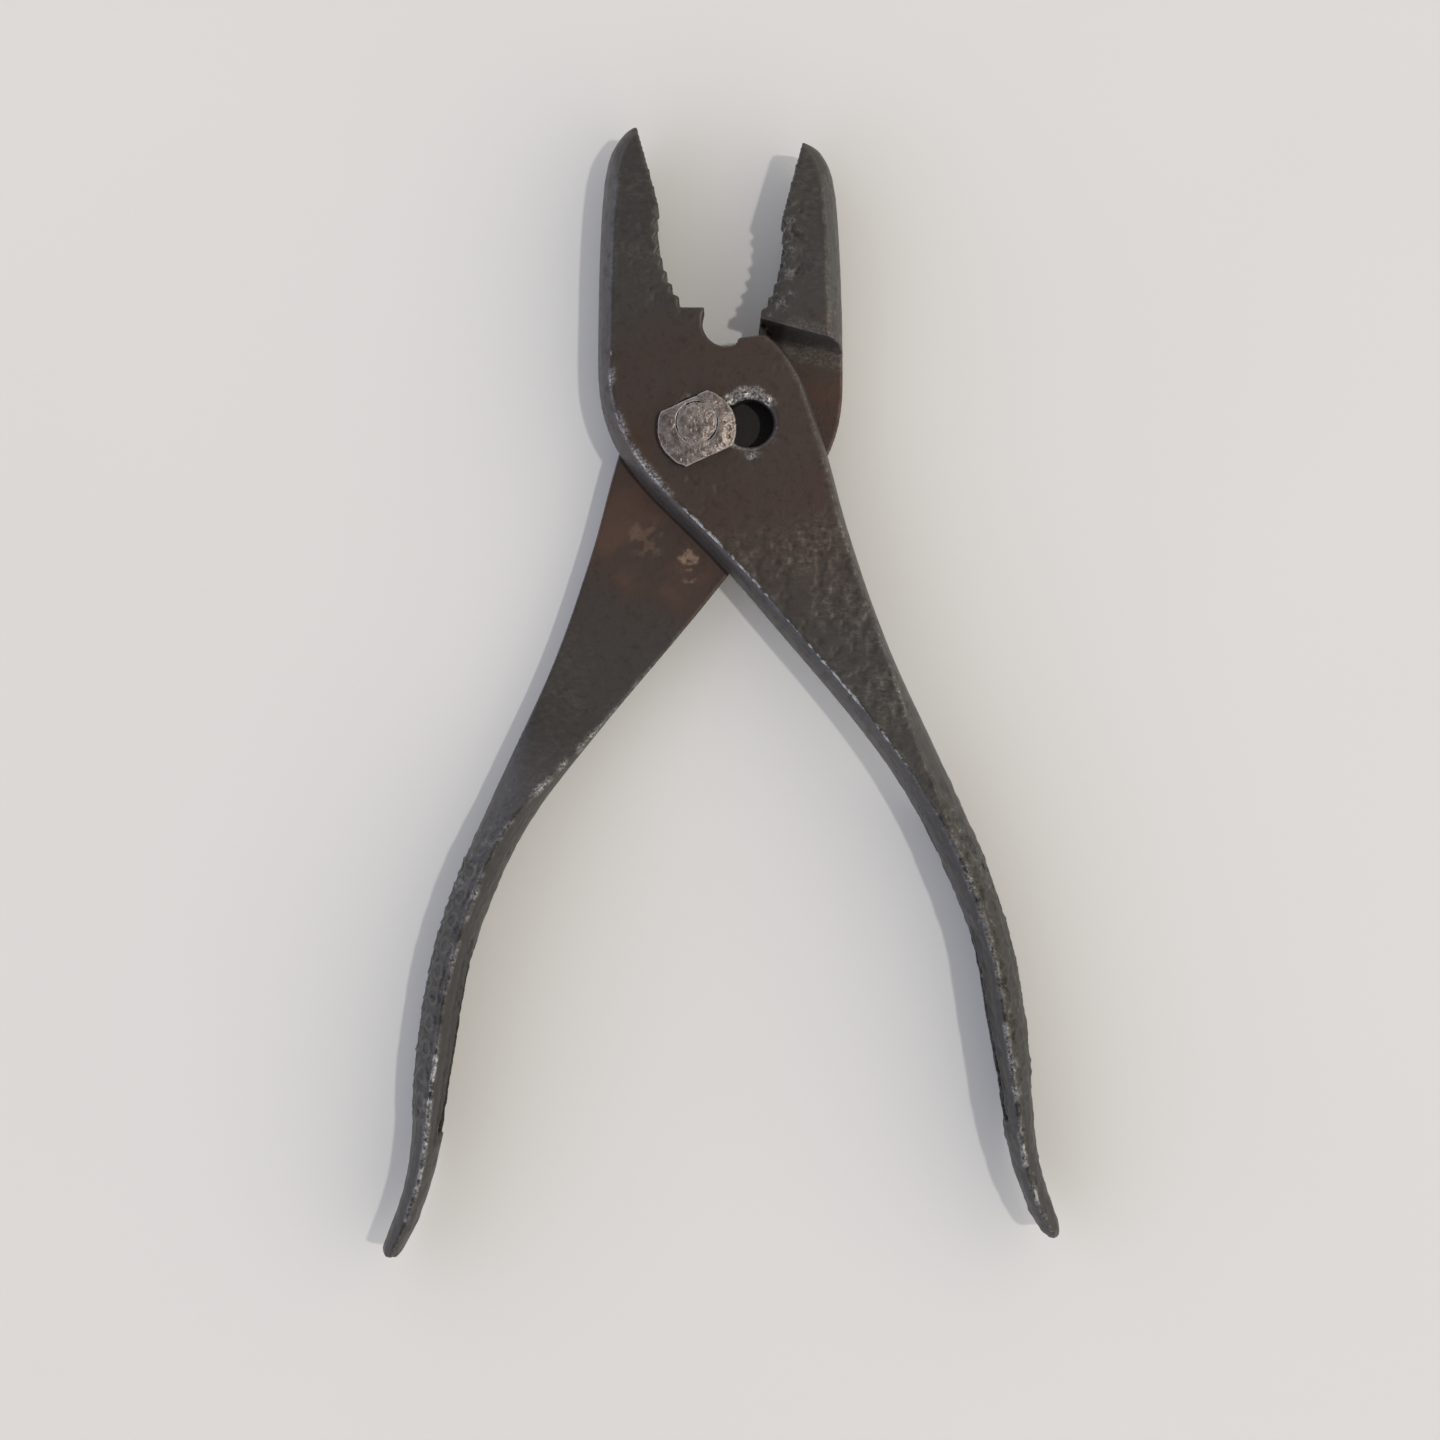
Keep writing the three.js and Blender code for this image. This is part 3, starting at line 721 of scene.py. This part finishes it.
def forged_steel(name, brown):
    """Dark oxide over forged steel, worn bright along its edges, with rust and dirty pits in its
    crust, painted shade in its hollows, painted sheen on its sides, and darker inside the pin slot.
    """
    steel = Steel(name)
    broad = steel.noise(9.0, detail=3.0)
    mottle = steel.noise(1.5, detail=8.0, roughness=0.7)
    grain = steel.noise(0.35, detail=6.0, roughness=0.7)

    rusty = steel.share("rust", steel.between(broad, 0.36, 0.62, 0.2, 0.7))
    stained = steel.share("stain", steel.between(grain, 0.3, 0.6, 0.3, 1.0))
    bare_and_sheen = bare_share(steel, broad, mottle, grain)
    colour = oxide_layer(steel, brown, broad, mottle)
    colour = steel.blend(rusty, colour, RUST)
    colour = steel.blend(stained, colour, PALE_RUST)
    colour = rubbed_layer(steel, colour, broad)
    colour = dark_layer(steel, colour, mottle)
    colour = steel.blend(bare_and_sheen, colour, BARE_STEEL)

    dull = steel.math("MAXIMUM", steel.math("MAXIMUM", rusty, stained), steel.value("slot_dark"))
    metallic = steel.math("MAXIMUM", steel.between(dull, 0.1, 1.0, 0.75, 0.2), bare_and_sheen)
    polish = steel.math("MULTIPLY", bare_and_sheen, -0.1)
    roughness = steel.math("ADD", steel.between(mottle, 0.3, 0.7, 0.4, 0.54), polish)
    crusted = steel.math("MULTIPLY", mottle, steel.between(steel.value("crust"), 0.1, 1.0, 1.0, 4.0))
    normal = steel.bump(crusted, depth=0.05, strength=0.5)
    normal = steel.bump(grain, depth=0.02, strength=0.6, under=normal)
    return steel.finish(colour, metallic, roughness, normal)


def pitted_steel(name):
    """Bare steel, dull and pinkish grey, with dark pits, painted shade in its hollows and brighter
    rubbed high spots.
    """
    steel = Steel(name)
    mottle = steel.noise(1.1, detail=8.0, roughness=0.7)
    grain = steel.noise(0.3, detail=6.0, roughness=0.7)
    cells = steel.pits(0.55)
    tone = steel.blend(steel.between(mottle, 0.35, 0.65), PINK_STEEL, PALE_STEEL)
    pits = steel.between(grain, 0.58, 0.72, 0.0, 0.7)
    # Painted shade in the hollows, together with the pits.
    pits_and_shade = steel.math("MAXIMUM", steel.share("hollow_shade", 0.8), pits)
    tone = steel.blend(pits_and_shade, tone, BROWN_PIT_AND_SHADE)
    tone = steel.blend(steel.share("edge", 0.3), tone, BARE_STEEL)
    roughness = steel.between(mottle, 0.3, 0.7, 0.3, 0.46)
    normal = steel.bump(cells, depth=0.05, strength=0.4)
    normal = steel.bump(grain, depth=0.03, strength=0.6, under=normal)
    return steel.finish(tone, metallic=0.9, roughness=roughness, normal=normal)


# ------------------------------------------------------------------ table, light and camera
CAMERA_HEIGHT = 350.0           # above the plane where the levers meet
VIEW_ANGLE = math.radians(32.13)
VIEW_SHIFT = Vector((-0.1, -3.8))   # from the middle of the object to the middle of the view
LIGHT_SLOPE = 0.43              # how far to the left a shadow falls for each unit of height
LIGHT_SKEW = 0.03               # and how far towards the jaws
LIGHT_STRENGTH = 0.68
LIGHT_SOFTNESS = math.radians(2.5)
LIGHT_COLOUR = (1.0, 0.965, 0.91)
ROOM_BRIGHTNESS = 1.28
TABLE_REACH = 3000.0            # from the middle of the table to its edge
TABLE_GAP = 0.02                # how far the table is below the object, so they don't touch


def table():
    """A pale matt table top, large enough to fill every view."""
    mesh = bpy.data.meshes.new("table_top")
    half, below = TABLE_REACH * MM, -TABLE_GAP * MM
    corners = [(-half, -half, below), (half, -half, below), (half, half, below), (-half, half, below)]
    mesh.from_pydata(corners, [], [(0, 1, 2, 3)])
    top = bpy.data.objects.new("table_top", mesh)
    SCENE.collection.objects.link(top)
    matt = Steel("pale_table")
    colour = matt.blend(matt.noise(120.0, detail=2.0), WARM_TABLE, PALE_TABLE)
    normal = matt.bump(matt.noise(0.5), depth=0.002, strength=0.2)
    mesh.materials.append(matt.finish(colour, metallic=0.0, roughness=0.6, normal=normal))


def soft_sky():
    """Room light: dim and warm overhead and bright low down, cooler on the left."""
    world = bpy.data.worlds.new("room")
    SCENE.world = world
    world.use_nodes = True
    nodes, links = world.node_tree.nodes, world.node_tree.links
    place = nodes.new("ShaderNodeTexCoord")
    parts = nodes.new("ShaderNodeSeparateXYZ")
    links.new(place.outputs["Generated"], parts.inputs[0])
    by_height = colour_ramp(nodes, [(0.0, shade(1.0, 1.0, 1.0)), (0.5, shade(0.92, 0.91, 0.91)),
                                    (0.84, shade(0.30, 0.29, 0.28)), (1.0, shade(0.08, 0.072, 0.068))])
    links.new(parts.outputs["Z"], by_height.inputs["Fac"])
    sideways = nodes.new("ShaderNodeMapRange")
    sideways.inputs["From Min"].default_value = -0.8
    sideways.inputs["From Max"].default_value = 0.8
    links.new(parts.outputs["X"], sideways.inputs["Value"])
    by_side = colour_ramp(nodes, [(0.0, shade(0.88, 0.95, 1.14)), (1.0, shade(1.08, 1.02, 0.88))])
    links.new(sideways.outputs["Result"], by_side.inputs["Fac"])
    tint = nodes.new("ShaderNodeMix")
    tint.data_type = "RGBA"
    tint.blend_type = "MULTIPLY"
    tint.inputs["Factor"].default_value = 1.0
    links.new(by_height.outputs["Color"], tint.inputs["A"])
    links.new(by_side.outputs["Color"], tint.inputs["B"])
    background = nodes["Background"]
    links.new(tint.outputs["Result"], background.inputs["Color"])
    background.inputs["Strength"].default_value = ROOM_BRIGHTNESS


def colour_ramp(nodes, stops):
    """A ramp node that runs through the colours at their positions from 0 to 1."""
    ramp = nodes.new("ShaderNodeValToRGB")
    elements = ramp.color_ramp.elements
    elements[0].position, elements[1].position = stops[0][0], stops[-1][0]
    for position, _ in stops[1:-1]:
        elements.new(position)
    for element, (_, colour) in zip(elements, stops):
        element.color = colour
    return ramp


def key_light():
    """One steady light from the right, a little softened."""
    data = bpy.data.lights.new("window", "SUN")
    data.energy = LIGHT_STRENGTH
    data.angle = LIGHT_SOFTNESS
    data.color = LIGHT_COLOUR
    light = bpy.data.objects.new("window", data)
    SCENE.collection.objects.link(light)
    towards = Vector((-LIGHT_SLOPE, LIGHT_SKEW, -1.0))
    light.rotation_mode = "QUATERNION"
    light.rotation_quaternion = towards.to_track_quat("-Z", "Y")


def camera():
    data = bpy.data.cameras.new("camera")
    data.angle = VIEW_ANGLE
    data.clip_start = 0.01
    view = bpy.data.objects.new("camera", data)
    SCENE.collection.objects.link(view)
    middle = ((LOW + HIGH) / 2).xy + VIEW_SHIFT
    view.location = Vector((middle.x, middle.y, MIDDLE_Z + CAMERA_HEIGHT)) * MM
    SCENE.camera = view


# ------------------------------------------------------------------ the whole scene
def build():
    front, rear, keeper, pin = front_lever(), rear_lever(), keeper_washer(), pivot_pin()
    front.data.materials.append(forged_steel("front_forged_steel", brown=0.95))
    rear.data.materials.append(forged_steel("rear_forged_steel", brown=1.0))
    keeper.data.materials.append(pitted_steel("keeper_pitted_steel"))
    pin.data.materials.append(pitted_steel("pin_pitted_steel"))
    table()
    soft_sky()
    key_light()
    camera()
    SCENE.view_settings.view_transform = "Standard"


build()
